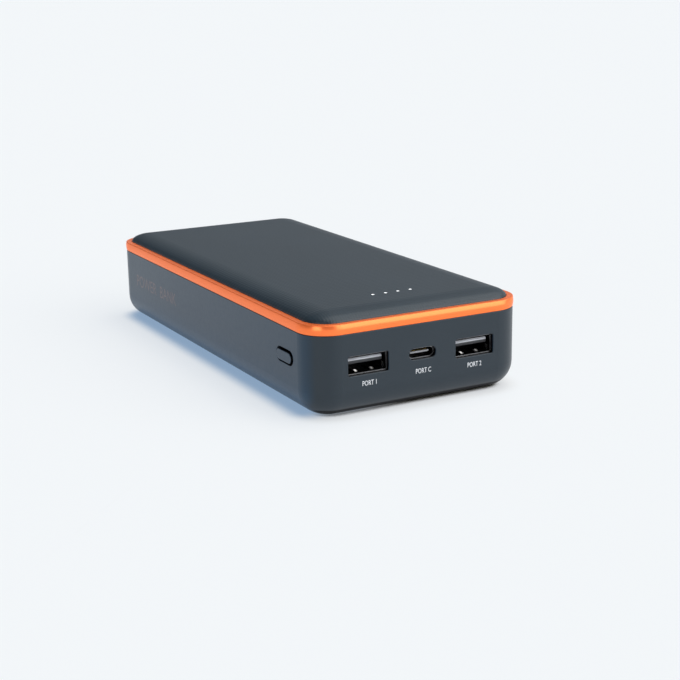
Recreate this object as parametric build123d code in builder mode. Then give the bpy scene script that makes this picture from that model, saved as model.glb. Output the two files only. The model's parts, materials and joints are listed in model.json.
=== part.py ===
"""Power bank with two USB-A ports, one USB-C port, a battery gauge and a side button.

Millimetres. The origin is the centre of the footprint, on the surface that the case lies on.
+Z is up, the ports face -Y, and the button is on the -X side near the ports.
"""

import os
from build123d import *

# Case
length = 156.8
width = 72.2
height = 30.7
corner_radius = 9.4
bottom_rounding = 8.0
wall = 2.0
floor = 2.2
cavity_rounding = 6.0
rim_edge_radius = 0.25

# Trim ring, clamped between the lower shell and the cover
ring_height = 3.1
ring_width = 1.85
ring_bulge = 0.2
ring_edge_radius = 0.3
ring_ledge_width = 1.4
ring_ledge_thickness = 1.2
ring_lip_drop = 1.8
ring_lip_gap = 0.12
ring_notch_gap = 0.3

# Top cover, with a pillow edge
cover_rise = 2.6
cover_gap = 0.12
cover_wall = 2.0
cover_thickness = 2.1
shoulder_width = 7.1
shoulder_rise = 2.84

# Snap hooks of the cover and their catches
hook_width = 7.0
hook_thickness = 1.1
hook_nose = 0.7
hook_nose_height = 1.4
hook_end_margin = 10.5
hook_gap = 0.2
hook_lip_gap = 0.8
catch_height = 1.3
catch_clearance = 0.1
catch_side_clearance = 0.3

# USB-A receptacles
usb_a_inset = 18.05
usb_a_height = 15.35
usb_a_shell_width = 13.1
usb_a_shell_height = 5.7
usb_a_shell_depth = 13.2
usb_a_shell_corner = 0.55
usb_a_tongue_width = 11.1
usb_a_tongue_thickness = 1.84
usb_a_tongue_drop = 0.72
usb_a_tongue_setback = 1.2
usb_a_base_depth = 3.4
usb_a_finger_spacing = 5.3
usb_a_finger_width = 1.5
usb_a_finger_length = 5.4
usb_a_finger_rise = 0.35
usb_a_finger_slot = 0.3
usb_a_finger_setback = 1.4
usb_a_finger_bend = 1.3
usb_a_contact_spots = (-3.5, -1.0, 1.0, 3.5)
usb_a_contact_width = 1.0
usb_a_contact_setback = 1.0
usb_a_ear_width = 1.1
usb_a_ear_length = 3.0

# USB-C receptacle
usb_c_height = 15.88
usb_c_shell_width = 8.94
usb_c_shell_height = 3.26
usb_c_shell_depth = 7.3
usb_c_tongue_width = 6.69
usb_c_tongue_thickness = 0.7
usb_c_tongue_setback = 0.85
usb_c_base_depth = 2.2
usb_c_contact_pitch = 0.5
usb_c_contact_width = 0.25
usb_c_contact_thickness = 0.06

# What all three receptacles share
port_setback = 1.2
port_clearance = 0.1
port_edge_radius = 0.2
shell_sheet = 0.3
contact_thickness = 0.12
base_clearance = 0.05

# Button
button_setback = 17.6
button_hole_length = 10.7
button_hole_width = 4.4
button_gap = 0.55
button_proud = 0.4
button_edge_radius = 0.3
button_flange_margin = 1.0
button_flange_thickness = 0.9
button_seat_gap = 0.05
button_stem_length = 1.5
button_stem_size = 2.4
button_travel = 0.4
button_guide_thickness = 1.2
button_guide_depth = 1.8
button_guide_clearance = 0.15
button_guide_margin = 1.0

# Tact switch behind the button, on the board
switch_axis_height = 1.95
plunger_gap = 0.05
plunger_length = 1.25
plunger_width = 2.6
plunger_thickness = 1.3
plunger_head_width = 4.0
plunger_head_height = 1.8
plunger_head_thickness = 0.5
plunger_clearance = 0.1
plunger_seat_gap = 0.02
plunger_edge_radius = 0.15
switch_width = 6.0
switch_depth = 3.15
switch_body_height = 3.3
switch_sheet = 0.2
dome_radius = 0.85
dome_rise = 0.3
dome_sheet = 0.08
dome_gap = 0.05

# Battery gauge
led_setback = 17.7
led_pitch = 4.3
led_count = 4
led_length = 1.6
led_breadth = 0.8
led_thickness = 0.6
pin_diameter = 0.95
pin_clearance = 0.04
pin_recess = 0.03
guide_leg_diameter = 2.0
guide_led_gap = 0.35
guide_bar_width = 4.4
guide_bar_thickness = 1.6
guide_post_diameter = 1.5
guide_post_offset = 3.0
guide_post_clearance = 0.1
guide_post_protrusion = 0.6

# Circuit board
board_thickness = 1.6
board_front_gap = 1.0
board_side_gap = 2.1
board_corner_gap = 2.0
board_port_gap = 0.15
power_row_behind_leds = 6.1
power_row_behind_ports = 9.25
board_behind_power_row = 8.6
resistor_rear_inset = 2.4
transistor_gap = 2.2
transistor_size = 3.3
filter_gap = 3.1
post_diameter = 4.8
post_front_inset = 6.6
post_rear_inset = 3.2
post_side_inset = 3.4
screw_shank_diameter = 1.6
screw_length = 6.0
screw_head_diameter = 3.6
screw_head_height = 1.3
screw_clearance = 0.05
screw_board_clearance = 0.2
screw_edge_radius = 0.45
screw_drive_width = 1.9
screw_drive_slot = 0.45
screw_drive_depth = 0.7

# Battery
cell_side_clearance = 3.1
cell_rear_clearance = 3.4
cell_board_gap = 6.0
cell_corner_radius = 2.0
cell_edge_radius = 1.4
terrace_length = 4.0
terrace_thickness = 1.2
bed_height = 3.9
bed_rib_width = 1.5
bed_rib_spacing = 20.0
bed_rib_inset = 2.0
base_pad_thickness = 0.5
top_pad_thickness = 1.0
adhesive_thickness = 0.3
pad_side_inset = 7.0
pad_end_inset = 8.0
stop_rib_thickness = 1.2
stop_rib_gap = 0.3
stop_rib_inner = 24.0
stop_rib_drop = 2.2
stop_rib_root = 0.5
tab_spacing = 28.0
tab_width = 8.0
tab_thickness = 0.2
tab_length = 3.0
lead_diameter = 2.0
lead_bend = 1.6
lead_start_rise = 3.75
lead_start_run = 2.4
lead_slope_end = 4.6
lead_run = 7.0
sheet_thickness = 0.2
sheet_gap = 1.0
sheet_side_inset = 4.0
sheet_foot = 4.6
sheet_head_gap = 1.0
sheet_hole_clearance = 0.3
solder_radius = 1.2
solder_height = 1.5
solder_edge_radius = 0.9

# How far pieces of one solid run into each other where they join
overlap = 0.1

# Worked-out levels and places
half_length = length / 2
half_width = width / 2
ring_top = height - cover_rise
ring_base = ring_top - ring_height
ledge_top = ring_base + ring_ledge_thickness
ledge_inset = ring_width + ring_ledge_width
cover_inset = ring_width + cover_gap
cover_under = height - cover_thickness
shoulder_base = height - shoulder_rise
shoulder = min(shoulder_width, corner_radius - cover_inset - 0.3)
usb_a_x = half_width - usb_a_inset
usb_a_rear = port_setback + usb_a_shell_depth + board_port_gap - half_length
usb_c_rear = port_setback + usb_c_shell_depth - half_length
led_y = led_setback - half_length
board_top = usb_c_height - usb_c_shell_height / 2
board_under = board_top - board_thickness
board_front = wall + board_front_gap - half_length
power_row = max(led_y + power_row_behind_leds, usb_a_rear + power_row_behind_ports)
board_rear = power_row + board_behind_power_row
board_length = board_rear - board_front
board_width = width - 2 * (wall + board_side_gap)
cell_front = board_rear + cell_board_gap
cell_rear = half_length - wall - cell_rear_clearance
cell_length = cell_rear - cell_front
cell_width = width - 2 * (wall + cell_side_clearance)
cell_middle = (cell_front + cell_rear) / 2
stack_base = bed_height + base_pad_thickness
stack_top = cover_under - top_pad_thickness
cell_pitch = (stack_top - stack_base + adhesive_thickness) / 3
cell_thickness = cell_pitch - adhesive_thickness
cell_levels = [stack_base + cell_thickness / 2 + cell_pitch * level for level in range(3)]
stop_rib_top = ring_base - ring_lip_drop - stop_rib_drop
hook_inset = ledge_inset + hook_gap
catch_depth = ledge_inset - wall
hook_spacing = cell_length / 2 - hook_end_margin
hook_nose_top = ring_base - ring_lip_drop - catch_height - hook_lip_gap
guide_post_place = (led_count - 1) * led_pitch / 2 + guide_post_offset
button_y = button_setback - half_length
button_height = board_top + switch_axis_height
cap_length = button_hole_length - 2 * button_gap
cap_width = button_hole_width - 2 * button_gap
guide_offset = (
    cap_length / 2 + button_flange_margin + button_guide_clearance + button_guide_thickness / 2
)
guide_height = button_hole_width + 2 * button_guide_margin
flange_outer = half_width - wall - button_seat_gap
plunger_tip = flange_outer - button_flange_thickness - button_stem_length - plunger_gap
switch_front = plunger_tip - plunger_length
switch_pocket_depth = (
    plunger_seat_gap + plunger_head_thickness + button_travel + dome_rise + dome_gap
)
post_spots = [
    (side * (board_width / 2 - post_side_inset), y)
    for side in (-1, 1)
    for y in (board_front + post_front_inset, board_rear - post_rear_inset)
]
tab_end = cell_front - tab_length
lead_start_height = board_top + lead_start_rise
sheet_y = tab_end - tab_thickness - sheet_gap


def outline(inset, mode=Mode.ADD):
    """Rounded rectangle of the case in plan, drawn in by an inset."""
    return RectangleRounded(width - 2 * inset, length - 2 * inset, corner_radius - inset, mode=mode)


def front_plane(x, z, setback=0.0):
    """Plane parallel to the port face with its normal out of the case."""
    return Plane(origin=(x, setback - half_length, z), x_dir=(1, 0, 0), z_dir=(0, -1, 0))


def button_plane(x):
    """Plane parallel to the button's side at a distance x from the middle, its normal outwards."""
    return Plane(origin=(-x, button_y, button_height), x_dir=(0, -1, 0), z_dir=(-1, 0, 0))


def hook_spots():
    """Side and Y place of each snap hook."""
    return [(side, cell_middle + step * hook_spacing) for side in (-1, 1) for step in (-1, 0, 1)]


# ---------------------------------------------------------------- casing


def rounded_block(inset, base, rounding):
    """Block of the case's plan, from a base up to the ring, with its bottom edge rounded."""
    with BuildPart() as block:
        with BuildSketch(Plane.XY.offset(base)):
            outline(inset)
        extrude(amount=ring_base - base)
        bottom_edges = block.faces().sort_by(Axis.Z)[0].edges()
        fillet(bottom_edges, min(rounding, corner_radius - inset - 0.4))
    return block


cavity = rounded_block(wall, floor, cavity_rounding)
rib_space = rounded_block(wall - stop_rib_root, floor - stop_rib_root, cavity_rounding + stop_rib_root)

# Stops that hold the cells off the board; their roots end inside the shell's wall
with BuildPart() as stop_ribs:
    with BuildSketch():
        for side in (-1, 1):
            with Locations((
                side * (stop_rib_inner + half_width) / 2,
                cell_front - stop_rib_gap - stop_rib_thickness / 2,
            )):
                Rectangle(half_width - stop_rib_inner, stop_rib_thickness)
    extrude(amount=stop_rib_top)
    add(rib_space.part, mode=Mode.INTERSECT)

with BuildPart() as lower_shell:
    add(rounded_block(0, 0, bottom_rounding).part)
    fillet(lower_shell.faces().sort_by(Axis.Z)[-1].edges(), rim_edge_radius)
    add(cavity.part, mode=Mode.SUBTRACT)
    # Port openings
    for side in (-1, 1):
        with BuildSketch(front_plane(side * usb_a_x, usb_a_height)):
            RectangleRounded(
                usb_a_shell_width + 2 * port_clearance,
                usb_a_shell_height + 2 * port_clearance,
                usb_a_shell_corner + port_clearance,
            )
        extrude(amount=-2 * wall, mode=Mode.SUBTRACT)
    with BuildSketch(front_plane(0, usb_c_height)):
        SlotOverall(
            usb_c_shell_width + 2 * port_clearance,
            usb_c_shell_height + 2 * port_clearance,
        )
    extrude(amount=-2 * wall, mode=Mode.SUBTRACT)
    front_face = lower_shell.faces().filter_by(Axis.Y).sort_by(Axis.Y)[0]
    fillet(front_face.inner_wires().edges(), port_edge_radius)
    # Button opening and the two guides at its ends
    with BuildSketch(button_plane(half_width)):
        SlotOverall(button_hole_length, button_hole_width)
    extrude(amount=-2 * wall, mode=Mode.SUBTRACT)
    side_face = lower_shell.faces().filter_by(Axis.X).sort_by(Axis.X)[0]
    fillet(side_face.inner_wires().edges(), port_edge_radius)
    with BuildSketch(button_plane(half_width - wall + overlap)):
        with Locations((-guide_offset, 0), (guide_offset, 0)):
            Rectangle(button_guide_thickness, guide_height)
    extrude(amount=-button_guide_depth - overlap)
    # Board posts
    with BuildSketch(Plane.XY.offset(floor / 2)):
        with Locations(*post_spots):
            Circle(post_diameter / 2)
    extrude(amount=board_under - floor / 2)
    with BuildSketch(Plane.XY.offset(board_under)):
        with Locations(*post_spots):
            Circle(screw_shank_diameter / 2 + screw_clearance)
    extrude(amount=-screw_length, mode=Mode.SUBTRACT)
    # Ribs that carry the cells, and their stops
    with BuildSketch(Plane.XY.offset(floor / 2)):
        with Locations((0, cell_middle)):
            with GridLocations(bed_rib_spacing, 0, 3, 1):
                Rectangle(bed_rib_width, cell_length - 2 * bed_rib_inset)
    extrude(amount=bed_height - floor / 2)
    add(stop_ribs.part)
    # Catches for the cover's snap hooks
    for side, y in hook_spots():
        with BuildSketch(Plane.XY.offset(hook_nose_top + catch_clearance)):
            with Locations((side * (half_width - wall - (catch_depth - overlap) / 2), y)):
                Rectangle(catch_depth + overlap, hook_width + 2 * catch_side_clearance)
        extrude(amount=catch_height)

ring_path = RectangleRounded(width, length, corner_radius).wire().moved(Location((0, 0, ring_base)))
with BuildPart() as trim_ring:
    # Band with a bowed face, swept round the case
    ring_plane = Plane(
        origin=ring_path @ 0,
        x_dir=Vector(0, 0, 1).cross(ring_path % 0),
        z_dir=ring_path % 0,
    )
    with BuildSketch(ring_plane):
        with BuildLine():
            ThreePointArc((0, 0), (-ring_bulge, ring_height / 2), (0, ring_height))
            Polyline((0, ring_height), (ring_width, ring_height), (ring_width, 0), (0, 0))
        make_face()
    sweep(path=ring_path)
    band_faces = trim_ring.faces().filter_by(Axis.Z)
    fillet([face.outer_wire().edges() for face in band_faces], ring_edge_radius)
    # Ledge under the cover, and the lip that centres the ring in the shell
    with BuildSketch(Plane.XY.offset(ring_base)):
        outline(ring_width - overlap)
        outline(ledge_inset, mode=Mode.SUBTRACT)
    extrude(amount=ring_ledge_thickness)
    with BuildSketch(Plane.XY.offset(ring_base + overlap)):
        outline(wall + ring_lip_gap)
        outline(ledge_inset, mode=Mode.SUBTRACT)
    extrude(amount=-ring_lip_drop - overlap)
    # In a low case the lip is notched round the receptacles and the button
    for side in (-1, 1):
        with BuildSketch(front_plane(side * usb_a_x, usb_a_height, wall)):
            Rectangle(
                usb_a_shell_width + 2 * ring_notch_gap,
                usb_a_shell_height + 2 * ring_notch_gap,
            )
        extrude(amount=-2 * ledge_inset, mode=Mode.SUBTRACT)
    with BuildSketch(button_plane(half_width - wall)):
        Rectangle(
            2 * guide_offset + button_guide_thickness + 2 * ring_notch_gap,
            guide_height + 2 * ring_notch_gap,
        )
    extrude(amount=-2 * ledge_inset, mode=Mode.SUBTRACT)

cover_edge = RectangleRounded(
    width - 2 * cover_inset, length - 2 * cover_inset, corner_radius - cover_inset
).wire()
with BuildPart() as top_cover:
    with BuildSketch(Plane.XY.offset(ledge_top)):
        outline(cover_inset)
    extrude(amount=shoulder_base - ledge_top)
    # Elliptical shoulder swept round the edge, then the flat that it encloses
    shoulder_plane = Plane(
        origin=cover_edge @ 0 + Vector(0, 0, shoulder_base),
        x_dir=Vector(0, 0, 1).cross(cover_edge % 0),
        z_dir=cover_edge % 0,
    )
    with BuildSketch(shoulder_plane):
        with Locations((shoulder, 0)):
            Ellipse(shoulder, shoulder_rise)
        Rectangle(shoulder, shoulder_rise, align=(Align.MIN, Align.MIN), mode=Mode.INTERSECT)
    sweep(path=cover_edge.moved(Location((0, 0, shoulder_base))))
    with BuildSketch(Plane.XY.offset(shoulder_base)):
        outline(cover_inset + shoulder)
    extrude(amount=shoulder_rise)
    with BuildSketch(Plane.XY.offset(ledge_top)):
        outline(cover_inset + cover_wall)
    extrude(amount=cover_under - ledge_top, mode=Mode.SUBTRACT)
    # Holes for the gauge's pins, and posts that carry the light guide
    with BuildSketch(Plane.XY.offset(height)):
        with Locations((0, led_y)):
            with GridLocations(led_pitch, 0, led_count, 1):
                Circle(pin_diameter / 2 + pin_clearance)
    extrude(amount=-2 * cover_thickness, mode=Mode.SUBTRACT)
    with BuildSketch(Plane.XY.offset(cover_under + overlap)):
        with Locations((-guide_post_place, led_y), (guide_post_place, led_y)):
            Circle(guide_post_diameter / 2)
    extrude(amount=-guide_bar_thickness - guide_post_protrusion - overlap)
    # Snap hooks
    hook_outer = half_width - hook_inset
    hook_inner = hook_outer - hook_thickness
    nose_low = hook_nose_top - hook_nose_height
    hook_profile = [
        (hook_inner, cover_under + overlap),
        (hook_inner, nose_low),
        (hook_outer, nose_low),
        (hook_outer + hook_nose, hook_nose_top - hook_nose_height / 3),
        (hook_outer + hook_nose, hook_nose_top),
        (hook_outer, hook_nose_top),
        (hook_outer, cover_under + overlap),
    ]
    for side, y in hook_spots():
        with BuildSketch(Plane.XZ.offset(-y)):
            Polygon(*[(side * x, z) for x, z in hook_profile], align=None)
        extrude(amount=hook_width / 2, both=True)

with BuildPart() as light_guide:
    with BuildSketch(Plane.XY.offset(cover_under)):
        with Locations((0, led_y)):
            SlotOverall(2 * guide_post_place + guide_bar_width, guide_bar_width)
            with Locations((-guide_post_place, 0), (guide_post_place, 0)):
                Circle(guide_post_diameter / 2 + guide_post_clearance, mode=Mode.SUBTRACT)
    extrude(amount=-guide_bar_thickness)
    with BuildSketch(Plane.XY.offset(cover_under - overlap)):
        with Locations((0, led_y)):
            with GridLocations(led_pitch, 0, led_count, 1):
                Circle(pin_diameter / 2)
    extrude(amount=cover_thickness + overlap - pin_recess)
    with BuildSketch(Plane.XY.offset(board_top + led_thickness + guide_led_gap)):
        with Locations((0, led_y)):
            with GridLocations(led_pitch, 0, led_count, 1):
                Circle(guide_leg_diameter / 2)
    extrude(until=Until.NEXT)

# ---------------------------------------------------------------- button and its switch

with BuildPart() as power_button:
    with BuildSketch(button_plane(flange_outer)):
        SlotOverall(
            cap_length + 2 * button_flange_margin,
            cap_width + 2 * button_flange_margin,
        )
    extrude(amount=-button_flange_thickness)
    with BuildSketch(button_plane(flange_outer)):
        SlotOverall(cap_length, cap_width)
    extrude(amount=half_width + button_proud - flange_outer)
    fillet(power_button.faces().sort_by(Axis.X)[0].edges(), button_edge_radius)
    with BuildSketch(button_plane(flange_outer - button_flange_thickness)):
        Rectangle(button_stem_size, button_stem_size)
    extrude(amount=-button_stem_length)

with BuildPart() as switch_plunger:
    with BuildSketch(button_plane(plunger_tip)):
        Rectangle(plunger_width, plunger_thickness)
    extrude(amount=-plunger_length - switch_sheet - overlap)
    fillet(switch_plunger.faces().sort_by(Axis.X)[0].edges(), plunger_edge_radius)
    with BuildSketch(button_plane(switch_front - switch_sheet - plunger_seat_gap)):
        Rectangle(plunger_head_width, plunger_head_height)
    extrude(amount=-plunger_head_thickness)

with BuildPart() as switch_frame:
    frame_height = switch_body_height + switch_sheet
    with BuildSketch(button_plane(switch_front)):
        with Locations((0, board_top + frame_height / 2 - button_height)):
            Rectangle(switch_width, frame_height)
        Rectangle(
            plunger_width + 2 * plunger_clearance,
            plunger_thickness + 2 * plunger_clearance,
            mode=Mode.SUBTRACT,
        )
    extrude(amount=-switch_sheet)
    with BuildSketch(button_plane(switch_front - switch_sheet)):
        with Locations((0, board_top + switch_body_height + switch_sheet / 2 - button_height)):
            Rectangle(switch_width, switch_sheet)
    extrude(amount=-switch_depth)

with BuildPart() as switch_base:
    with BuildSketch(button_plane(switch_front - switch_sheet)):
        with Locations((0, board_top + switch_body_height / 2 - button_height)):
            Rectangle(switch_width, switch_body_height)
    extrude(amount=-switch_depth)
    with BuildSketch(button_plane(switch_front - switch_sheet)):
        Rectangle(
            plunger_head_width + 2 * plunger_clearance,
            plunger_head_height + 2 * plunger_clearance,
        )
    extrude(amount=-switch_pocket_depth, mode=Mode.SUBTRACT)

with BuildPart() as switch_dome:
    dome_rim = -switch_front + switch_sheet + switch_pocket_depth
    dome_curve = (dome_radius**2 + dome_rise**2) / (2 * dome_rise)
    dome_plane = Plane(origin=(dome_rim, button_y, button_height), x_dir=(0, 1, 0), z_dir=(0, 0, 1))
    with BuildSketch(dome_plane):
        with Locations((0, dome_rise - dome_curve)):
            Circle(dome_curve)
            Circle(dome_curve - dome_sheet, mode=Mode.SUBTRACT)
        Rectangle(4 * dome_curve, 4 * dome_curve, align=(Align.CENTER, Align.MAX), mode=Mode.SUBTRACT)
        Rectangle(4 * dome_curve, 4 * dome_curve, align=(Align.MAX, Align.CENTER), mode=Mode.SUBTRACT)
    revolve(axis=Axis((dome_rim, button_y, button_height), (1, 0, 0)))

# ---------------------------------------------------------------- receptacles


def usb_a_shell(x):
    """Folded sheet shell with four spring fingers and two ears that rest on the board."""
    front = port_setback
    with BuildPart() as shell:
        with BuildSketch(front_plane(x, usb_a_height, front)):
            RectangleRounded(usb_a_shell_width, usb_a_shell_height, usb_a_shell_corner)
        extrude(amount=-usb_a_shell_depth)
        with BuildSketch(front_plane(x, usb_a_height, front)):
            RectangleRounded(
                usb_a_shell_width - 2 * shell_sheet,
                usb_a_shell_height - 2 * shell_sheet,
                usb_a_shell_corner - shell_sheet,
            )
        extrude(amount=-usb_a_shell_depth + shell_sheet, mode=Mode.SUBTRACT)
        # Slots round each finger, through the top and the bottom sheet
        with BuildSketch(Plane.XY.offset(usb_a_height)):
            with Locations((x, finger_middle)):
                with GridLocations(usb_a_finger_spacing, 0, 2, 1):
                    Rectangle(
                        usb_a_finger_width + 2 * usb_a_finger_slot,
                        usb_a_finger_length + usb_a_finger_slot,
                    )
        extrude(amount=usb_a_shell_height, both=True, mode=Mode.SUBTRACT)
        for level in (-1, 1):
            outer = level * usb_a_shell_height / 2
            inner = level * (usb_a_shell_height / 2 - shell_sheet)
            bow = -level * usb_a_finger_rise
            with BuildSketch(Plane.YZ.offset(x)):
                Polygon(
                    (finger_root + overlap, usb_a_height + outer),
                    (finger_root + overlap, usb_a_height + inner),
                    (finger_bend, usb_a_height + inner + bow),
                    (finger_tip, usb_a_height + inner),
                    (finger_tip, usb_a_height + outer),
                    (finger_bend, usb_a_height + outer + bow),
                    align=None,
                )
            fingers = extrude(amount=usb_a_finger_width / 2, both=True, mode=Mode.PRIVATE)
            for step in (-1, 1):
                with Locations((step * usb_a_finger_spacing / 2, 0, 0)):
                    add(fingers)
        # Each ear is a foot on the board and an upright that joins it to the shell's side
        ear_spots = (-usb_a_shell_width / 2 - ear_reach / 2, usb_a_shell_width / 2 + ear_reach / 2)
        with BuildSketch(Plane.XY.offset(board_top)):
            with Locations(*[(x + spot, board_front + usb_a_ear_length) for spot in ear_spots]):
                Rectangle(usb_a_ear_width + overlap, usb_a_ear_length)
        extrude(amount=shell_sheet)
        with BuildSketch(Plane.XY.offset(board_top)):
            with Locations((x, board_front + usb_a_ear_length)):
                Rectangle(usb_a_shell_width + 2 * shell_sheet, usb_a_ear_length)
                Rectangle(usb_a_shell_width - shell_sheet, usb_a_ear_length, mode=Mode.SUBTRACT)
        extrude(amount=max(usb_a_height - board_top, shell_sheet))
    return shell


def usb_a_tongue(x):
    """Moulded base that fills the back of the shell, with the contact tongue in front of it."""
    with BuildPart() as tongue:
        with BuildSketch(front_plane(x, usb_a_height, usb_a_back - usb_a_base_depth)):
            RectangleRounded(
                usb_a_shell_width - 2 * (shell_sheet + base_clearance),
                usb_a_shell_height - 2 * (shell_sheet + base_clearance),
                usb_a_shell_corner - shell_sheet,
            )
        extrude(amount=-usb_a_base_depth)
        with BuildSketch(front_plane(x, tongue_middle, port_setback + usb_a_tongue_setback)):
            Rectangle(usb_a_tongue_width, usb_a_tongue_thickness)
        extrude(amount=-tongue_reach - overlap)
        nose = tongue.faces().sort_by(Axis.Y)[0]
        chamfer(nose.edges().filter_by(Axis.X).sort_by(Axis.Z)[-1], 0.5)
        chamfer(nose.edges().filter_by(Axis.X).sort_by(Axis.Z)[0], 0.2)
    return tongue


def usb_a_contacts(x):
    """Four contact strips under the tongue."""
    with BuildPart() as contacts:
        with BuildSketch(Plane.XY.offset(tongue_middle - usb_a_tongue_thickness / 2)):
            with Locations(*[(x + spot, contact_front) for spot in usb_a_contact_spots]):
                Rectangle(usb_a_contact_width, contact_reach, align=(Align.CENTER, Align.MIN))
        extrude(amount=-contact_thickness)
    return contacts


usb_a_back = port_setback + usb_a_shell_depth - shell_sheet
tongue_reach = usb_a_shell_depth - shell_sheet - usb_a_base_depth - usb_a_tongue_setback
tongue_middle = (
    usb_a_height
    + usb_a_shell_height / 2
    - shell_sheet
    - usb_a_tongue_drop
    - usb_a_tongue_thickness / 2
)
contact_front = port_setback + usb_a_tongue_setback + usb_a_contact_setback - half_length
contact_reach = tongue_reach - 1.5 * usb_a_contact_setback
ear_reach = usb_a_ear_width - overlap
finger_tip = port_setback + usb_a_finger_setback - half_length
finger_root = finger_tip + usb_a_finger_length
finger_bend = finger_tip + usb_a_finger_bend
finger_middle = (finger_tip + finger_root) / 2 - usb_a_finger_slot / 2

usb_a_left_shell = usb_a_shell(-usb_a_x)
usb_a_left_tongue = usb_a_tongue(-usb_a_x)
usb_a_left_contacts = usb_a_contacts(-usb_a_x)
usb_a_right_shell = usb_a_shell(usb_a_x)
usb_a_right_tongue = usb_a_tongue(usb_a_x)
usb_a_right_contacts = usb_a_contacts(usb_a_x)

with BuildPart() as usb_c_shell:
    with BuildSketch(front_plane(0, usb_c_height, port_setback)):
        SlotOverall(usb_c_shell_width, usb_c_shell_height)
    extrude(amount=-usb_c_shell_depth)
    with BuildSketch(front_plane(0, usb_c_height, port_setback)):
        SlotOverall(usb_c_shell_width - 2 * shell_sheet, usb_c_shell_height - 2 * shell_sheet)
    extrude(amount=-usb_c_shell_depth + shell_sheet, mode=Mode.SUBTRACT)

usb_c_base_front = port_setback + usb_c_shell_depth - shell_sheet - usb_c_base_depth
with BuildPart() as usb_c_tongue:
    with BuildSketch(front_plane(0, usb_c_height, usb_c_base_front)):
        SlotOverall(
            usb_c_shell_width - 2 * (shell_sheet + base_clearance),
            usb_c_shell_height - 2 * (shell_sheet + base_clearance),
        )
    extrude(amount=-usb_c_base_depth)
    with BuildSketch(front_plane(0, usb_c_height, port_setback + usb_c_tongue_setback)):
        Rectangle(usb_c_tongue_width, usb_c_tongue_thickness)
    extrude(amount=-(usb_c_base_front - port_setback - usb_c_tongue_setback + overlap))
    fillet(usb_c_tongue.faces().sort_by(Axis.Y)[0].edges().filter_by(Axis.Z), 0.4)

with BuildPart() as usb_c_contacts:
    contact_length = usb_c_base_front - port_setback - usb_c_tongue_setback - 0.6
    for level in (-1, 1):
        face_height = usb_c_height + level * usb_c_tongue_thickness / 2
        with BuildSketch(Plane.XY.offset(face_height)):
            with Locations((0, usb_c_base_front - overlap - contact_length / 2 - half_length)):
                with GridLocations(usb_c_contact_pitch, 0, 12, 1):
                    Rectangle(usb_c_contact_width, contact_length)
        extrude(amount=level * usb_c_contact_thickness)

# ---------------------------------------------------------------- circuit board

with BuildPart() as circuit_board:
    with BuildSketch(Plane.XY.offset(board_under)):
        with Locations((0, board_front)):
            board_face = Rectangle(board_width, board_length, align=(Align.CENTER, Align.MIN))
        front_corners = board_face.vertices().group_by(Axis.Y)[0]
        fillet(front_corners, corner_radius - wall - board_corner_gap)
        with Locations(*post_spots):
            Circle(screw_shank_diameter / 2 + screw_board_clearance, mode=Mode.SUBTRACT)
        with Locations((0, board_front)):
            with GridLocations(2 * usb_a_x, 0, 2, 1):
                Rectangle(
                    usb_a_shell_width + 2 * board_port_gap,
                    2 * (usb_a_rear - board_front),
                    mode=Mode.SUBTRACT,
                )
    extrude(amount=board_thickness)

with BuildPart() as board_screws:
    with BuildSketch(Plane.XY.offset(board_top)):
        with Locations(*post_spots):
            Circle(screw_head_diameter / 2)
    extrude(amount=screw_head_height)
    fillet(board_screws.faces().group_by(Axis.Z)[-1].edges(), screw_edge_radius)
    with BuildSketch(Plane.XY.offset(board_top + screw_head_height)):
        with Locations(*post_spots):
            Rectangle(screw_drive_width, screw_drive_slot)
            Rectangle(screw_drive_slot, screw_drive_width)
    extrude(amount=-screw_drive_depth, mode=Mode.SUBTRACT)
    with BuildSketch(Plane.XY.offset(board_top)):
        with Locations(*post_spots):
            Circle(screw_shank_diameter / 2)
    extrude(amount=-screw_length)

with BuildPart() as indicator_leds:
    with BuildSketch(Plane.XY.offset(board_top)):
        with Locations((0, led_y)):
            with GridLocations(led_pitch, 0, led_count, 1):
                Rectangle(led_breadth, led_length)
    extrude(amount=led_thickness)
    fillet(indicator_leds.faces().group_by(Axis.Z)[-1].edges(), 0.12)


def on_board(spots, size_x, size_y, size_z, edge):
    """Equal rectangular components at each spot on the board, with rounded top edges."""
    with BuildPart() as parts:
        with BuildSketch(Plane.XY.offset(board_top)):
            with Locations(*spots):
                Rectangle(size_x, size_y)
        extrude(amount=size_z)
        chamfer(parts.faces().group_by(Axis.Z)[-1].edges(), edge)
    return parts


switching_row = usb_a_rear + transistor_gap + transistor_size / 2
filter_row = usb_c_rear + filter_gap
board_edge = board_width / 2
power_inductors = on_board([(-8.8, power_row), (8.8, power_row)], 7.2, 6.6, 3.8, 0.5)
controller_chip = on_board([(0, power_row + 0.6)], 6.0, 6.0, 0.9, 0.1)
power_transistors = on_board(
    [(side * (board_edge - inset), switching_row) for side in (-1, 1) for inset in (10.4, 15.4)],
    transistor_size, transistor_size, 0.85, 0.1,
)
ceramic_capacitors = on_board(
    [(x, filter_row + y) for x in (-2, 2) for y in (-1.2, 1.2, 3.6)], 3.2, 1.6, 1.2, 0.12
)
chip_resistors = on_board(
    [(x, board_rear - resistor_rear_inset + y) for x in (-5.2, -2.6, 0, 2.6, 5.2) for y in (-0.8, 0.8)],
    1.6, 0.8, 0.45, 0.06,
)

with BuildPart() as polymer_capacitors:
    with BuildSketch(Plane.XY.offset(board_top)):
        with Locations((-20.4, power_row), (20.4, power_row), (board_edge - 4.6, switching_row)):
            Circle(2.5)
    extrude(amount=5.6)
    fillet(polymer_capacitors.faces().group_by(Axis.Z)[-1].edges(), 0.5)

# ---------------------------------------------------------------- battery


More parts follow.
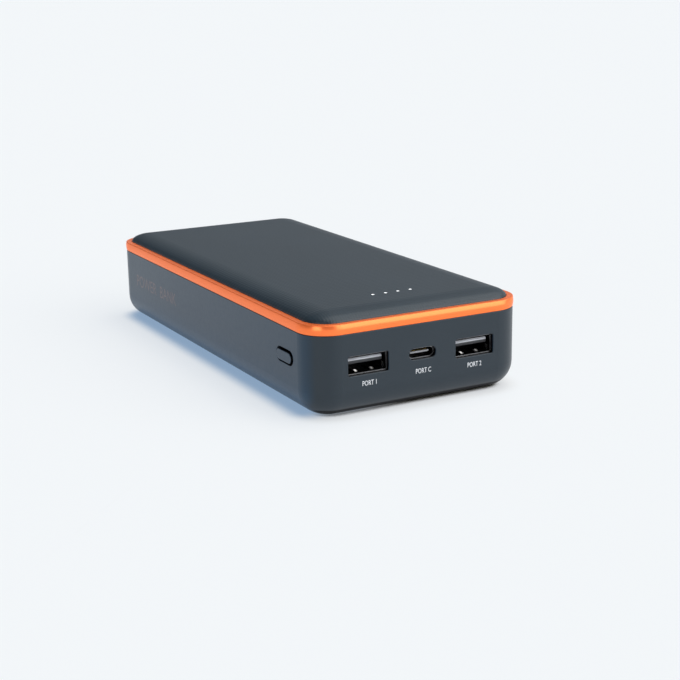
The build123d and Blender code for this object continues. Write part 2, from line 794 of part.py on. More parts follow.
def battery_cell(level):
    """Pouch cell: a soft-edged block, with the thin sealed terrace that its tabs leave."""
    with BuildPart() as cell:
        with BuildSketch(Plane.XY.offset(level - cell_thickness / 2)):
            with Locations((0, cell_rear)):
                RectangleRounded(
                    cell_width,
                    cell_length - terrace_length,
                    cell_corner_radius,
                    align=(Align.CENTER, Align.MAX),
                )
        extrude(amount=cell_thickness)
        fillet(cell.faces().filter_by(Axis.Z).edges(), cell_edge_radius)
        with BuildSketch(Plane.XY.offset(level - terrace_thickness / 2)):
            with Locations((0, cell_front)):
                Rectangle(
                    cell_width - 2 * cell_corner_radius,
                    terrace_length + 1.0,
                    align=(Align.CENTER, Align.MIN),
                )
        extrude(amount=terrace_thickness)
    return cell


def cell_tabs(x):
    """The three tabs of one polarity, one above the other."""
    with BuildPart() as tabs:
        for level in cell_levels:
            with BuildSketch(Plane.XY.offset(level - tab_thickness / 2)):
                with Locations((x, cell_front)):
                    Rectangle(tab_width, tab_length, align=(Align.CENTER, Align.MAX))
            extrude(amount=tab_thickness)
    return tabs


def bus_strip(x):
    """Upright strip that joins the tabs of one polarity."""
    with BuildPart() as strip:
        with BuildSketch(Plane.XZ.offset(-tab_end)):
            with Locations((x, (cell_levels[0] + cell_levels[2]) / 2)):
                Rectangle(tab_width, cell_levels[2] - cell_levels[0] + 2.0)
        extrude(amount=tab_thickness)
    return strip


def battery_lead(x):
    """Insulated lead from a bus strip, through the insulation sheet, down to the board."""
    end_height = board_top + lead_diameter / 2
    with BuildPart() as lead:
        with BuildLine() as route:
            FilletPolyline(
                (x, tab_end - tab_thickness, lead_start_height),
                (x, tab_end - lead_start_run, lead_start_height),
                (x, tab_end - lead_slope_end, end_height),
                (x, lead_end, end_height),
                radius=lead_bend,
            )
        with BuildSketch(Plane(origin=route.line @ 0, z_dir=route.line % 0)):
            Circle(lead_diameter / 2)
        sweep()
    return lead


def pad(base, thickness, side_inset, end_inset):
    """Flat sheet that lies on the cells, drawn in from their edges."""
    with BuildPart() as sheet:
        with BuildSketch(Plane.XY.offset(base)):
            with Locations((0, cell_middle + terrace_length / 2)):
                RectangleRounded(
                    cell_width - 2 * side_inset,
                    cell_length - terrace_length - 2 * end_inset,
                    2.0,
                )
        extrude(amount=thickness)
    return sheet


lead_end = tab_end - lead_run
solder_y = lead_end - solder_radius
cells = [battery_cell(level) for level in cell_levels]
positive_tabs = cell_tabs(tab_spacing / 2)
negative_tabs = cell_tabs(-tab_spacing / 2)
positive_bus_strip = bus_strip(tab_spacing / 2)
negative_bus_strip = bus_strip(-tab_spacing / 2)
positive_lead = battery_lead(tab_spacing / 2)
negative_lead = battery_lead(-tab_spacing / 2)
base_foam_pad = pad(bed_height, base_pad_thickness, pad_side_inset, pad_end_inset)
top_foam_pad = pad(stack_top, top_pad_thickness, pad_side_inset, pad_end_inset)

with BuildPart() as adhesive_sheets:
    for level in cell_levels[:2]:
        add(pad(level + cell_thickness / 2, adhesive_thickness, pad_side_inset, pad_end_inset).part)

with BuildPart() as insulation_sheet:
    sheet_head = cover_under - sheet_head_gap
    with BuildSketch(Plane.XZ.offset(-sheet_y)):
        with Locations((0, (sheet_foot + sheet_head) / 2)):
            Rectangle(width - 2 * (wall + sheet_side_inset), sheet_head - sheet_foot)
        with Locations((-tab_spacing / 2, lead_start_height), (tab_spacing / 2, lead_start_height)):
            Circle(lead_diameter / 2 + sheet_hole_clearance, mode=Mode.SUBTRACT)
    extrude(amount=sheet_thickness)

with BuildPart() as solder_joints:
    with BuildSketch(Plane.XY.offset(board_top)):
        with Locations((-tab_spacing / 2, solder_y), (tab_spacing / 2, solder_y)):
            Circle(solder_radius)
    extrude(amount=solder_height)
    fillet(solder_joints.faces().group_by(Axis.Z)[-1].edges(), solder_edge_radius)

# ---------------------------------------------------------------- write the pieces

pieces = {
    "lower_shell": lower_shell,
    "trim_ring": trim_ring,
    "top_cover": top_cover,
    "light_guide": light_guide,
    "power_button": power_button,
    "switch_plunger": switch_plunger,
    "switch_frame": switch_frame,
    "switch_base": switch_base,
    "switch_dome": switch_dome,
    "usb_a_left_shell": usb_a_left_shell,
    "usb_a_left_tongue": usb_a_left_tongue,
    "usb_a_left_contacts": usb_a_left_contacts,
    "usb_a_right_shell": usb_a_right_shell,
    "usb_a_right_tongue": usb_a_right_tongue,
    "usb_a_right_contacts": usb_a_right_contacts,
    "usb_c_shell": usb_c_shell,
    "usb_c_tongue": usb_c_tongue,
    "usb_c_contacts": usb_c_contacts,
    "circuit_board": circuit_board,
    "board_screws": board_screws,
    "indicator_leds": indicator_leds,
    "power_inductors": power_inductors,
    "controller_chip": controller_chip,
    "power_transistors": power_transistors,
    "ceramic_capacitors": ceramic_capacitors,
    "chip_resistors": chip_resistors,
    "polymer_capacitors": polymer_capacitors,
    "battery_cell_lower": cells[0],
    "battery_cell_middle": cells[1],
    "battery_cell_upper": cells[2],
    "positive_tabs": positive_tabs,
    "negative_tabs": negative_tabs,
    "positive_bus_strip": positive_bus_strip,
    "negative_bus_strip": negative_bus_strip,
    "positive_lead": positive_lead,
    "negative_lead": negative_lead,
    "adhesive_sheets": adhesive_sheets,
    "base_foam_pad": base_foam_pad,
    "top_foam_pad": top_foam_pad,
    "insulation_sheet": insulation_sheet,
    "solder_joints": solder_joints,
}

os.makedirs("parts", exist_ok=True)
for name, piece in pieces.items():
    piece.part.label = name
    export_step(piece.part, f"parts/{name}.step")
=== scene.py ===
"""Looks of a power bank that lies on a pale surface: its materials, port legends, light and camera.

Metres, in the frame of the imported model: +Z up, ports towards -Y, button on the -X side. The materials work
in millimetres, from where each point lies at rest.
"""

import json
from math import cos, pi, radians, sin

import bpy
from mathutils import Matrix, Vector


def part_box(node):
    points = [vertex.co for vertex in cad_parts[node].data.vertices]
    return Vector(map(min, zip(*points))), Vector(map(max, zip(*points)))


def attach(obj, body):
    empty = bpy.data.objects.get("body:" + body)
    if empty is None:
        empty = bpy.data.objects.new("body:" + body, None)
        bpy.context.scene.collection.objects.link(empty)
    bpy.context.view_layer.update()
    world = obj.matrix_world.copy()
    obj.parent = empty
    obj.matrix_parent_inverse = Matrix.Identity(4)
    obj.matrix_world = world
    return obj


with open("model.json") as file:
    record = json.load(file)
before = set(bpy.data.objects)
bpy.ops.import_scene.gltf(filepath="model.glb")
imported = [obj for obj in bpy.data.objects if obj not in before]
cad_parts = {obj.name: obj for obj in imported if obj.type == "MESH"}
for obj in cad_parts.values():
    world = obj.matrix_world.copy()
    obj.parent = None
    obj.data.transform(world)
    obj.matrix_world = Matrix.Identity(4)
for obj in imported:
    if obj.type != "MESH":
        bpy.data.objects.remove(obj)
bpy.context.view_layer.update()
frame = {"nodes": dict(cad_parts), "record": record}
MM = 0.001

shell_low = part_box("lower_shell")[0]
PORT_FACE = shell_low.y / MM
usb_a_low, usb_a_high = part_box("usb_a_right_shell")
USB_A_MIDDLE = (usb_a_low.x + usb_a_high.x) / 2 / MM


# ---------------------------------------------------------------- node helpers


def node(tree, kind, inputs=None, **settings):
    """A shader node with its settings, and its inputs set to values or linked to sockets."""
    made = tree.nodes.new("ShaderNode" + kind)
    for key, value in settings.items():
        setattr(made, key, value)
    for key, value in (inputs or {}).items():
        if isinstance(value, bpy.types.NodeSocket):
            tree.links.new(value, made.inputs[key])
        else:
            made.inputs[key].default_value = value
    return made


def math(tree, operation, *values):
    """Output of a Math node on up to three values or sockets."""
    return node(tree, "Math", dict(enumerate(values)), operation=operation).outputs[0]


def place_mm(tree):
    """Position on the object at rest, in millimetres."""
    coordinates = node(tree, "TexCoord").outputs["Object"]
    return node(tree, "VectorMath", {0: coordinates, "Scale": 1000.0}, operation="SCALE").outputs[0]


def noise(tree, place, scale, detail=3.0, roughness=0.5):
    """Noise from 0 to 1, with a scale in features per millimetre."""
    inputs = {"Vector": place, "Scale": scale, "Detail": detail, "Roughness": roughness}
    return node(tree, "TexNoise", inputs).outputs["Fac"]


def spread(tree, value, low, high):
    """Noise taken to a range, with its middle stretched to fill it."""
    inputs = {"Value": value, "From Min": 0.3, "From Max": 0.7, "To Min": low, "To Max": high}
    return node(tree, "MapRange", inputs).outputs["Result"]


def bump(tree, height, depth_mm):
    """Normal of a relief whose height of 1 stands that many millimetres proud."""
    return node(tree, "Bump", {"Height": height, "Distance": depth_mm * MM, "Strength": 1.0}).outputs["Normal"]


def shades(tree, factor, dark, light):
    """Mix of two colours, or sockets, by a factor."""
    first, second = (part if isinstance(part, bpy.types.NodeSocket) else (*part, 1) for part in (dark, light))
    return node(tree, "Mix", {"Factor": factor, "A": first, "B": second}, data_type="RGBA").outputs["Result"]


def ramp(tree, value, low, high):
    """Smooth rise from 0 to 1 between two values."""
    inputs = {"Value": value, "From Min": low, "From Max": high}
    return node(tree, "MapRange", inputs, interpolation_type="SMOOTHSTEP").outputs["Result"]


def within(tree, value, low, high, soft):
    """1 where a value lies between two bounds, with soft flanks outside them."""
    rise = node(tree, "MapRange", {"Value": value, "From Min": low - soft, "From Max": low})
    fall = node(tree, "MapRange", {"Value": value, "From Min": high, "From Max": high + soft})
    return math(tree, "SUBTRACT", rise.outputs["Result"], fall.outputs["Result"])


def tint(colour, share):
    """A colour made lighter or darker by a share of itself."""
    return tuple(min(1.0, part * (1 + share)) for part in colour)


def set_socket(tree, socket, value):
    """Links a socket to another, or sets its value."""
    if isinstance(value, bpy.types.NodeSocket):
        tree.links.new(value, socket)
    elif isinstance(value, tuple) and len(value) == 3 and socket.type == "RGBA":
        socket.default_value = (*value, 1)
    else:
        socket.default_value = value


def dress(tree, shader, **values):
    """Sets sockets of the shader, named with _ for a space, to numbers, colours or other sockets."""
    for key, value in values.items():
        set_socket(tree, shader.inputs[key.replace("_", " ")], value)


def surface(name, **values):
    """New material with a Principled shader, some of whose sockets are set."""
    material = bpy.data.materials.new(name)
    material.use_nodes = True
    tree = material.node_tree
    shader = tree.nodes["Principled BSDF"]
    dress(tree, shader, **values)
    return material, tree, shader


# ---------------------------------------------------------------- materials


def mottle(tree, place, speckle):
    """Tone of a moulded surface: half fine speckle, half slow drift."""
    drift = noise(tree, place, 0.06, detail=2.0)
    return math(tree, "MULTIPLY_ADD", speckle, 0.5, math(tree, "MULTIPLY", drift, 0.5))


def moulded(name, colour, roughness=0.45, grain=4.0, depth=0.012):
    """Moulded or coated surface: fine grain in its relief, and slow drifts of colour and gloss."""
    uneven = 0.06
    material, tree, shader = surface(name)
    place = place_mm(tree)
    speckle = noise(tree, place, grain, detail=2.0, roughness=0.6)
    tone = spread(tree, mottle(tree, place, speckle), 0, 1)
    dress(
        tree, shader,
        Base_Color=shades(tree, tone, tint(colour, -uneven), tint(colour, uneven)),
        Roughness=spread(tree, noise(tree, place, 0.9), roughness * 0.92, roughness * 1.08),
        Normal=bump(tree, speckle, depth),
    )
    return material


def slate_shell(name, colour, painted_shade_sides=False):
    """Lower shell: satin slate plastic, with painted shade in its port reveals and under its front.

    The button side has a painted blue reflection low down and a painted sheen that pales it towards its far
    end. Given the button flag, what turns away from that side gets painted shade too, as round a button.
    """
    # blue is a painted blue reflection, pale a painted sheen, and dark the near black of painted shade.
    blue, pale, dark = (0.011, 0.048, 0.100), (0.060, 0.078, 0.088), (0.002, 0.002, 0.003)
    blue_top, shell_rear = 14.0, 78.0
    reveal_front, reveal_back = PORT_FACE + 0.5, PORT_FACE + 8.0
    reveal_low, reveal_high, reveal_reach = 10.5, 19.5, 26.0
    shade_top, shade_full = 2.9, 1.7
    material, tree, shader = surface(name, IOR=1.47, Specular_Tint=(0.80, 0.93, 1.0))
    place = place_mm(tree)
    parts = node(tree, "SeparateXYZ", {0: place})
    x, y, z = parts.outputs["X"], parts.outputs["Y"], parts.outputs["Z"]
    outward = node(tree, "SeparateXYZ", {0: node(tree, "TexCoord").outputs["Normal"]})
    outward_x, outward_y = outward.outputs["X"], outward.outputs["Y"]
    speckle = noise(tree, place, 4.0, detail=2.0, roughness=0.6)
    tone = spread(tree, mottle(tree, place, speckle), 0, 1)
    plain = shades(tree, tone, tint(colour, -0.08), tint(colour, 0.08))

    # Painted light on the button side: a painted sheen pales it towards its far end, and a painted blue
    # reflection tints it low down.
    on_side = ramp(tree, outward_x, -0.7, -1.0)
    far_sheen = math(tree, "MULTIPLY", ramp(tree, y, 0.0, shell_rear), math(tree, "MULTIPLY", on_side, 0.5))
    with_far_sheen = shades(tree, far_sheen, plain, pale)
    low = math(tree, "MULTIPLY_ADD", ramp(tree, z, blue_top, 1.0), 0.45, 0.55)
    with_blue_reflection = shades(tree, math(tree, "MULTIPLY", low, on_side), with_far_sheen, blue)

    # Painted shade: near black with little gloss inside the port reveals, and low on the front where the base
    # curves under.
    near_ports = math(
        tree, "MULTIPLY", within(tree, z, reveal_low, reveal_high, 0.1),
        math(tree, "LESS_THAN", math(tree, "ABSOLUTE", x), reveal_reach),
    )
    in_reveal = math(tree, "MULTIPLY", within(tree, y, reveal_front, reveal_back, 0.25), near_ports)
    forward = ramp(tree, outward_y, -0.05, -0.5)
    underneath = math(tree, "MULTIPLY", forward, ramp(tree, z, shade_top, shade_full))
    shaded = math(tree, "MULTIPLY", math(tree, "MAXIMUM", in_reveal, underneath), 1.6)
    shaded = math(tree, "MINIMUM", shaded, 1.0)
    # Painted shade on the button: its faces that turn away from the button side go near black.
    if painted_shade_sides:
        shaded = math(tree, "MAXIMUM", shaded, ramp(tree, outward_x, -0.85, -0.6))
    dress(
        tree, shader,
        Base_Color=shades(tree, shaded, with_blue_reflection, dark),
        Specular_IOR_Level=math(tree, "MULTIPLY_ADD", shaded, -0.45, 0.5),
        Roughness=spread(tree, noise(tree, place, 0.9), 0.31, 0.36),
        Normal=bump(tree, speckle, 0.010),
    )
    return material


def ribbed_cover(name, colour):
    """Top cover: a fine relief of crossing rows, under a soft grain."""
    row_pitch, relief_depth = 0.85, 0.011
    material, tree, shader = surface(name, Roughness=0.42)
    place = place_mm(tree)
    parts = node(tree, "SeparateXYZ", {0: place})
    across = math(tree, "SINE", math(tree, "MULTIPLY", parts.outputs["X"], 2 * pi / row_pitch))
    along = math(tree, "SINE", math(tree, "MULTIPLY", parts.outputs["Y"], pi / row_pitch))
    rows = math(tree, "MULTIPLY_ADD", along, 0.8, across)
    speckle = noise(tree, place, 5.0, detail=2.0, roughness=0.6)
    tone = spread(tree, noise(tree, place, 0.05), 0, 1)
    dress(
        tree, shader,
        Base_Color=shades(tree, tone, tint(colour, -0.06), tint(colour, 0.06)),
        Normal=bump(tree, math(tree, "MULTIPLY_ADD", speckle, 0.5, rows), relief_depth),
    )
    return material


def anodised(name, colour):
    """Anodised trim: satin metal that looks bowed, with faint lines drawn along it and small shifts of tone,
    and a faint painted orange glow.
    """
    middle, bow_per_mm, line_depth = 25.0, 0.028, 0.004
    # Painted glow: the trim emits a faint orange light of its own.
    edge_tint, glow, glow_strength = (1.0, 0.74, 0.60), (0.97, 0.14, 0.03), 0.15
    material, tree, shader = surface(
        name, Metallic=0.5, Specular_Tint=edge_tint, Emission_Color=glow, Emission_Strength=glow_strength
    )
    place = place_mm(tree)
    stretched = node(tree, "VectorMath", {0: place, 1: (0.25, 0.25, 9.0)}, operation="MULTIPLY").outputs[0]
    lines = noise(tree, stretched, 1.2, detail=4.0, roughness=0.65)
    z = node(tree, "SeparateXYZ", {0: place}).outputs["Z"]
    off_middle = math(tree, "SUBTRACT", z, middle)
    bow = math(tree, "MULTIPLY", math(tree, "MULTIPLY", off_middle, off_middle), -bow_per_mm)
    dress(
        tree, shader,
        Base_Color=shades(tree, spread(tree, lines, 0, 1), tint(colour, -0.05), tint(colour, 0.05)),
        Roughness=spread(tree, noise(tree, place, 3.0, detail=2.0), 0.19, 0.25),
        Normal=bump(tree, math(tree, "MULTIPLY_ADD", lines, line_depth, bow), 1.0),
    )
    return material


def plated(name, colour, roughness=0.32, stretch=(1.0, 0.15, 1.0)):
    """Plated or bare sheet metal, with rolling marks along one way."""
    material, tree, shader = surface(name, Metallic=1.0)
    drawn = node(tree, "VectorMath", {0: place_mm(tree), 1: stretch}, operation="MULTIPLY").outputs[0]
    marks = noise(tree, drawn, 1.5, detail=4.0, roughness=0.6)
    dress(
        tree, shader,
        Base_Color=shades(tree, spread(tree, marks, 0, 1), tint(colour, -0.12), tint(colour, 0.10)),
        Roughness=spread(tree, marks, roughness * 0.8, roughness * 1.2),
        Normal=bump(tree, marks, 0.006),
    )
    return material


def clear_pins(name):
    """Milky light guide, lit from below."""
    material, tree, shader = surface(name, IOR=1.49, Emission_Color=(1.0, 1.0, 1.0), Emission_Strength=0.9)
    haze = noise(tree, place_mm(tree), 0.8, detail=2.0)
    dress(
        tree, shader,
        Base_Color=shades(tree, haze, (0.86, 0.88, 0.90), (0.95, 0.96, 0.97)),
        Roughness=spread(tree, haze, 0.15, 0.3),
    )
    return material


def laminate(name, mask, copper):
    """Circuit board: solder mask over copper tracks, on a glass laminate."""
    weave_colour = (0.0, 0.02, 0.01)
    material, tree, shader = surface(name, Roughness=0.32)
    place = place_mm(tree)
    tracks = node(
        tree, "TexVoronoi", {"Vector": place, "Scale": 0.28, "Randomness": 0.85},
        feature="DISTANCE_TO_EDGE", distance="MANHATTAN",
    ).outputs["Distance"]
    over_track = node(tree, "MapRange", {"Value": tracks, "From Min": 0.10, "From Max": 0.13}).outputs["Result"]
    weave = math(tree, "MULTIPLY", noise(tree, place, 2.2, detail=2.0), 0.25)
    base = shades(tree, over_track, copper, mask)
    dress(
        tree, shader, Base_Color=shades(tree, weave, base, weave_colour), Normal=bump(tree, over_track, -0.02)
    )
    return material


def pouch(name, colour):
    """Laminated pouch foil: bright, with soft dents and creases."""
    material, tree, shader = surface(name, Metallic=0.9)
    place = place_mm(tree)
    dents = noise(tree, place, 0.11, detail=4.0, roughness=0.55)
    creases = noise(tree, place, 0.8, roughness=0.6)
    dress(
        tree, shader,
        Base_Color=shades(tree, spread(tree, dents, 0, 1), tint(colour, -0.08), tint(colour, 0.05)),
        Roughness=spread(tree, creases, 0.28, 0.45),
        Normal=bump(tree, math(tree, "MULTIPLY_ADD", creases, 0.15, dents), 0.35),
    )
    return material


def fibrous(name, colour, cell=1.4, depth=0.05):
    """Foam, tissue or pressed paper: a matt surface of small cells and fibres."""
    material, tree, shader = surface(name, Roughness=0.9)
    cells = node(tree, "TexVoronoi", {"Vector": place_mm(tree), "Scale": cell}).outputs["Distance"]
    dress(
        tree, shader,
        Base_Color=shades(tree, cells, tint(colour, -0.2), tint(colour, 0.1)),
        Normal=bump(tree, cells, depth),
    )
    return material


def tinned_chip(name, body, pitch, first, half_body):
    """Chip parts in rows along X: glazed bodies, with tinned ends beyond half a body from each middle."""
    tin = (0.70, 0.70, 0.71)
    material, tree, shader = surface(name, Roughness=0.35)
    place = place_mm(tree)
    x = node(tree, "SeparateXYZ", {0: place}).outputs["X"]
    from_middle = math(tree, "PINGPONG", math(tree, "SUBTRACT", x, first), pitch / 2)
    end = math(tree, "GREATER_THAN", from_middle, half_body)
    speckle = noise(tree, place, 3.0, detail=2.0)
    glaze = shades(tree, speckle, tint(body, -0.1), tint(body, 0.1))
    dress(
        tree, shader, Base_Color=shades(tree, end, glaze, tin), Metallic=end, Normal=bump(tree, speckle, 0.01)
    )
    return material


def receptacle(name):
    """Sheet shells of the ports: painted shade inside, a painted highlight at the mouth, and painted glints
    where the spring fingers bend.

    Each USB-A port has two fingers in its floor, and the one towards -X has the brighter painted glint.
    """
    # The near black stands for shade inside the shells, and the bright sheet for the painted highlight and
    # glints.
    painted_shade_sheet, painted_highlight_sheet = (0.035, 0.038, 0.042), (0.9, 0.9, 0.92)
    mouth_depth, mouth_share = 1.4, 0.3
    bend_front, bend_back, bend_low, bend_high = 2.8, 3.8, 12.9, 14.5
    finger_reach, finger_half_width = 2.65, 0.2
    faint_glint, further_glint = 0.25, 0.55
    material, tree, shader = surface(name, Metallic=1.0, Emission_Color=(1.0, 0.98, 0.95))
    place = place_mm(tree)
    parts = node(tree, "SeparateXYZ", {0: place})
    x, y, z = parts.outputs["X"], parts.outputs["Y"], parts.outputs["Z"]
    depth = math(tree, "SUBTRACT", y, PORT_FACE)
    at_mouth = math(tree, "MULTIPLY", within(tree, depth, 0.0, mouth_depth, 0.3), mouth_share)
    at_bend = math(
        tree, "MULTIPLY",
        within(tree, depth, bend_front, bend_back, 0.3), within(tree, z, bend_low, bend_high, 0.1),
    )

    beyond_middle = math(tree, "SUBTRACT", math(tree, "ABSOLUTE", x), USB_A_MIDDLE)
    from_middle = math(tree, "MULTIPLY", beyond_middle, math(tree, "SIGN", x))
    from_finger = math(tree, "SUBTRACT", math(tree, "ABSOLUTE", beyond_middle), finger_reach)
    on_finger = within(tree, from_finger, -finger_half_width, finger_half_width, 0.2)
    # Painted glint: the finger bends emit light, more on the finger towards -X.
    strength = math(
        tree, "MULTIPLY_ADD", math(tree, "LESS_THAN", from_middle, 0.0), further_glint, faint_glint
    )
    glint = math(tree, "MULTIPLY", math(tree, "MULTIPLY", at_bend, on_finger), strength)

    marks = noise(tree, place, 1.5, detail=4.0, roughness=0.6)
    # Painted highlight: the mouth and the finger bends are made bright, varied by the rolling marks.
    painted_highlights = math(tree, "MULTIPLY", math(tree, "MAXIMUM", at_mouth, at_bend), spread(tree, marks, 0.85, 1.0))
    dress(
        tree, shader,
        Base_Color=shades(tree, painted_highlights, painted_shade_sheet, painted_highlight_sheet),
        Roughness=spread(tree, marks, 0.25, 0.38),
        Emission_Strength=glint,
        Normal=bump(tree, marks, 0.006),
    )
    return material


def port_tongue(name, light, dark, low, high):
    """Contact tongue: painted light on a band of its nose between two levels, and painted shade elsewhere."""
    material, tree, shader = surface(name, Roughness=0.5)
    place = place_mm(tree)
    z = node(tree, "SeparateXYZ", {0: place}).outputs["Z"]
    speckle = noise(tree, place, 3.0, detail=2.0)
    lit = math(tree, "MULTIPLY", within(tree, z, low, high, 0.08), spread(tree, speckle, 0.92, 1.0))
    dress(tree, shader, Base_Color=shades(tree, lit, dark, light), Normal=bump(tree, speckle, 0.01))
    return material


SLATE = (0.018, 0.024, 0.032)
INK = moulded("white_ink", (0.75, 0.77, 0.80), roughness=0.6)
FAINT_INK = moulded("faint_ink", (0.120, 0.085, 0.100), roughness=0.33)
MATERIALS = {
    "shell_plastic": slate_shell("slate_shell", SLATE),
    "trim_metal": anodised("orange_trim", (0.97, 0.21, 0.055)),
    "cover_plastic": ribbed_cover("slate_cover", (0.017, 0.029, 0.039)),
    "button_plastic": slate_shell("slate_button", SLATE, painted_shade_sides=True),
    "clear_plastic": clear_pins("milky_guide"),
    "switch_black": moulded("switch_black", (0.02, 0.02, 0.021)),
    "switch_white": moulded("switch_ivory", (0.70, 0.69, 0.64)),
    "spring_steel": plated("stainless_sheet", (0.62, 0.62, 0.63)),
    "port_steel": receptacle("port_steel"),
    # The tongues' light and dark colours are painted light and painted shade, banded by height.
    "port_plastic": port_tongue("port_grey", (0.55, 0.57, 0.61), (0.02, 0.022, 0.026), 16.35, 17.0),
    "port_plastic_dark": port_tongue("port_dark_grey", (0.36, 0.37, 0.39), (0.01, 0.01, 0.012), 15.7, 16.1),
    "gold": plated("gold_plate", (0.85, 0.60, 0.22), roughness=0.25),
    "board": laminate("green_board", (0.012, 0.11, 0.045), (0.03, 0.22, 0.08)),
    "screw_steel": plated("zinc_screw", (0.60, 0.60, 0.62), stretch=(1.0, 1.0, 1.0)),
    "led_body": moulded("led_epoxy", (0.85, 0.84, 0.70), roughness=0.25),
    "ferrite": moulded("ferrite", (0.09, 0.09, 0.095), roughness=0.6, grain=2.0, depth=0.04),
    "chip_black": moulded("chip_black", (0.018, 0.018, 0.02), roughness=0.5),
    "can_metal": plated("aluminium_can", (0.78, 0.78, 0.80)),
    "ceramic_tan": tinned_chip("ceramic_tan", (0.46, 0.33, 0.20), 4.0, 2.0, 1.15),
    "resistor_black": tinned_chip("resistor_glaze", (0.03, 0.03, 0.035), 2.6, 0.0, 0.55),
    "cell_foil": pouch("pouch_foil", (0.66, 0.67, 0.70)),
    "nickel": plated("nickel_strip", (0.66, 0.63, 0.58), stretch=(1.0, 1.0, 0.15)),
    "tab_aluminium": plated("bare_aluminium", (0.76, 0.76, 0.77)),
    "red_insulation": moulded("red_silicone", (0.55, 0.02, 0.015), roughness=0.5),
    "black_insulation": moulded("black_silicone", (0.02, 0.02, 0.02), roughness=0.5),
    "adhesive": fibrous("tissue_tape", (0.78, 0.78, 0.72)),
    "foam": fibrous("closed_cell_foam", (0.04, 0.04, 0.043), cell=2.0, depth=0.12),
    "fish_paper": fibrous("fish_paper", (0.45, 0.53, 0.50), cell=3.0, depth=0.02),
    "solder": plated("solder", (0.72, 0.72, 0.73), roughness=0.25, stretch=(1.0, 1.0, 1.0)),
}


def paint_cad_nodes():
    """Gives every CAD node the material of its slot in the record."""
    for part in frame["record"]["subparts"]:
        slots = frame["nodes"][part["node"]].material_slots
        for slot in slots:
            slot.material = MATERIALS[part["material_slot"]]


# ---------------------------------------------------------------- printed legends


def link(name, data):
    """New object in the scene."""
    made = bpy.data.objects.new(name, data)
    bpy.context.scene.collection.objects.link(made)
    return made


def legend(name, words, place, turn, height, squeeze, ink):
    """Print on an upright face of the shell, a hair proud of it; a turn of 0 is for the port face."""
    ink_depth = 0.03 * MM
    curve = bpy.data.curves.new(name, "FONT")
    curve.body = words
    curve.size = height
    curve.align_x = "CENTER"
    curve.align_y = "CENTER"
    curve.extrude = ink_depth / 2
    curve.resolution_u = 4
    lettering = link(name, curve)
    upright = Matrix.Rotation(turn, 4, "Z") @ Matrix.Rotation(pi / 2, 4, "X")
    lettering.matrix_world = Matrix.Translation(place) @ upright @ Matrix.Diagonal((squeeze, 1.0, 1.0, 1.0))
    bpy.context.view_layer.update()
    evaluated = lettering.evaluated_get(bpy.context.evaluated_depsgraph_get())
    mesh = bpy.data.meshes.new_from_object(evaluated)
    mesh.transform(lettering.matrix_world)
    bpy.data.objects.remove(lettering)
    printed = link(name, mesh)
    mesh.materials.clear()
    mesh.materials.append(ink)
    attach(printed, "housing")


def print_legends():
    """Names beneath the ports, and faint words on the far half of the button side."""
    port_height, port_squeeze = 2.1 * MM, 0.72
    side_y, side_z, side_height, side_squeeze = 42.5 * MM, 15.4 * MM, 6.0 * MM, 0.95
    for name, words, x, z in (
        ("legend_port_1", "PORT 1", -17.8, 9.7),
        ("legend_port_c", "PORT C", 0.2, 10.6),
        ("legend_port_2", "PORT 2", 18.0, 9.8),
    ):
        legend(name, words, (x * MM, shell_low.y, z * MM), 0, port_height, port_squeeze, INK)
    side_place = (shell_low.x, side_y, side_z)
    legend("legend_side", "POWER  BANK", side_place, -pi / 2, side_height, side_squeeze, FAINT_INK)


# ---------------------------------------------------------------- floor, light and camera


def floor_material():
    """Pale surface with a glow of its own, and a painted shadow where the object stands close over it.

    The painted shadow is blue beside the button side, and a dark line of painted shadow runs round the rest
    of the base.
    """
    matt = (0.20, 0.19, 0.165)
    open_glow, contact_shadow_glow, blue_shadow_glow = (0.66, 0.70, 0.75), (0.58, 0.60, 0.63), (0.24, 0.35, 0.50)
    reach = 7 * MM
    material, tree, shader = surface(
        "pale_floor", Base_Color=matt, Roughness=0.6, Specular_IOR_Level=0.0, Emission_Strength=1.0
    )
    parts = node(tree, "SeparateXYZ", {0: place_mm(tree)})
    x, y = parts.outputs["X"], parts.outputs["Y"]
    # Painted shadow: the glow dims close to the object, blue beside the button side, black in a line round the
    # base.
    openness = node(tree, "AmbientOcclusion", {"Distance": reach}, samples=16).outputs["AO"]
    beside = math(tree, "MULTIPLY", ramp(tree, x, 0.0, -20.0), ramp(tree, y, -76.0, -66.0))
    contact = shades(tree, beside, contact_shadow_glow, blue_shadow_glow)
    glow = shades(tree, ramp(tree, openness, 0.35, 0.95), contact, open_glow)
    crevice_shadow = math(tree, "MULTIPLY", ramp(tree, openness, 0.27, 0.12), math(tree, "SUBTRACT", 1.0, beside))
    dress(tree, shader, Emission_Color=shades(tree, crevice_shadow, glow, (0.0, 0.0, 0.0)))
    return material


def build_floor():
    """Plain pale surface that reaches past the view."""
    reach = 8.0
    mesh = bpy.data.meshes.new("floor")
    corners = [(-reach, -reach, 0), (reach, -reach, 0), (reach, reach, 0), (-reach, reach, 0)]
    mesh.from_pydata(corners, [], [(0, 1, 2, 3)])
    floor = link("floor", mesh)
    mesh.materials.append(floor_material())


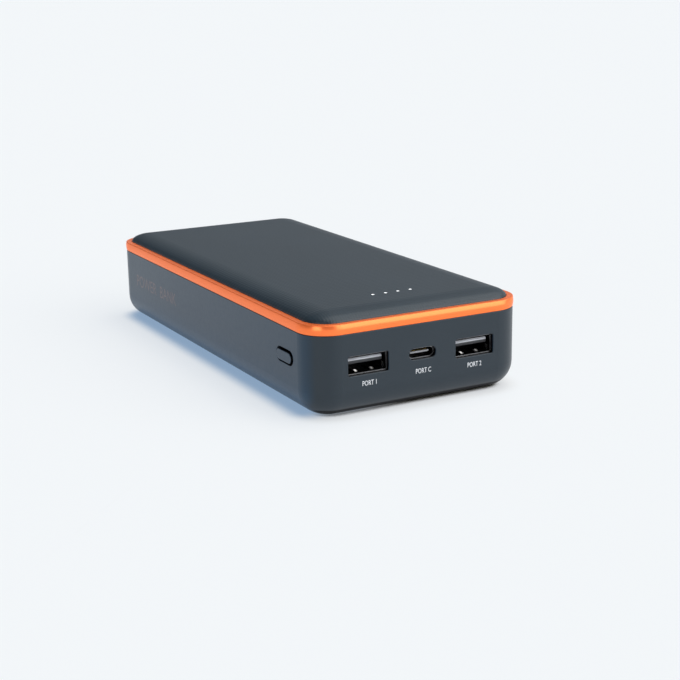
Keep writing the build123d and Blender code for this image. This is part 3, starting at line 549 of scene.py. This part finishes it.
def build_world():
    """Dim walls over a bright sweep, and three soft panels: overhead, and low at the front right and left."""
    dim_wall, light_wall, sweep = (0.08, 0.10, 0.13), (0.36, 0.38, 0.40), (0.80, 0.84, 0.90)
    panels = (
        # aim, cosines of the angle off it where the panel is full and where it ends, brightness
        ((0.50, -0.20, 0.84), 0.92, 0.72, 1.8),
        ((0.55, -0.75, 0.36), 0.97, 0.80, 3.2),
        ((-0.83, -0.50, 0.12), 0.985, 0.94, 3.0),
    )
    world = bpy.data.worlds.new("studio")
    world.use_nodes = True
    bpy.context.scene.world = world
    tree = world.node_tree
    direction = node(tree, "TexCoord").outputs["Generated"]
    towards = node(tree, "SeparateXYZ", {0: direction})
    walls = shades(tree, ramp(tree, towards.outputs["X"], -0.3, 0.6), dim_wall, light_wall)
    lit = shades(tree, ramp(tree, towards.outputs["Z"], 0.16, 0.02), walls, sweep)
    for aim, full, end, brightness in panels:
        inputs = {0: direction, 1: Vector(aim).normalized()}
        facing = node(tree, "VectorMath", inputs, operation="DOT_PRODUCT").outputs["Value"]
        lit = shades(tree, ramp(tree, facing, end, full), lit, (brightness, brightness, brightness))
    tree.links.new(lit, tree.nodes["Background"].inputs["Color"])


def hang_key_lamp():
    """Broad distant lamp, high on the +X side, that leaves no highlight of its own."""
    azimuth, elevation = radians(80), radians(78)
    data = bpy.data.lights.new("key", "SUN")
    data.energy = 1.15
    data.angle = radians(35)
    lamp = link("key", data)
    towards_lamp = Vector((sin(azimuth) * cos(elevation), cos(azimuth) * cos(elevation), sin(elevation)))
    lamp.visible_glossy = False
    lamp.rotation_euler = towards_lamp.to_track_quat("Z", "Y").to_euler()


def place_camera():
    """Camera low over the near corner, between the port face and the button side."""
    azimuth, elevation, roll = radians(-28.17), radians(15.13), radians(-0.95)
    distance = 0.4722
    target = Vector((0.01259, -0.00399, 0.0009))
    back = Vector((sin(azimuth) * cos(elevation), -cos(azimuth) * cos(elevation), sin(elevation)))
    level = Vector((0, 0, 1)).cross(back).normalized()
    upright = back.cross(level)
    right = level * cos(roll) + upright * sin(roll)
    up = upright * cos(roll) - level * sin(roll)
    data = bpy.data.cameras.new("camera")
    data.sensor_width = 36.0
    data.lens = 72.71
    data.clip_end = 50.0
    camera = link("camera", data)
    turned = Matrix((right, up, back)).transposed().to_4x4()
    camera.matrix_world = Matrix.Translation(target + back * distance) @ turned
    bpy.context.scene.camera = camera


paint_cad_nodes()
print_legends()
build_floor()
build_world()
hang_key_lamp()
place_camera()
bpy.context.scene.view_settings.view_transform = "Standard"
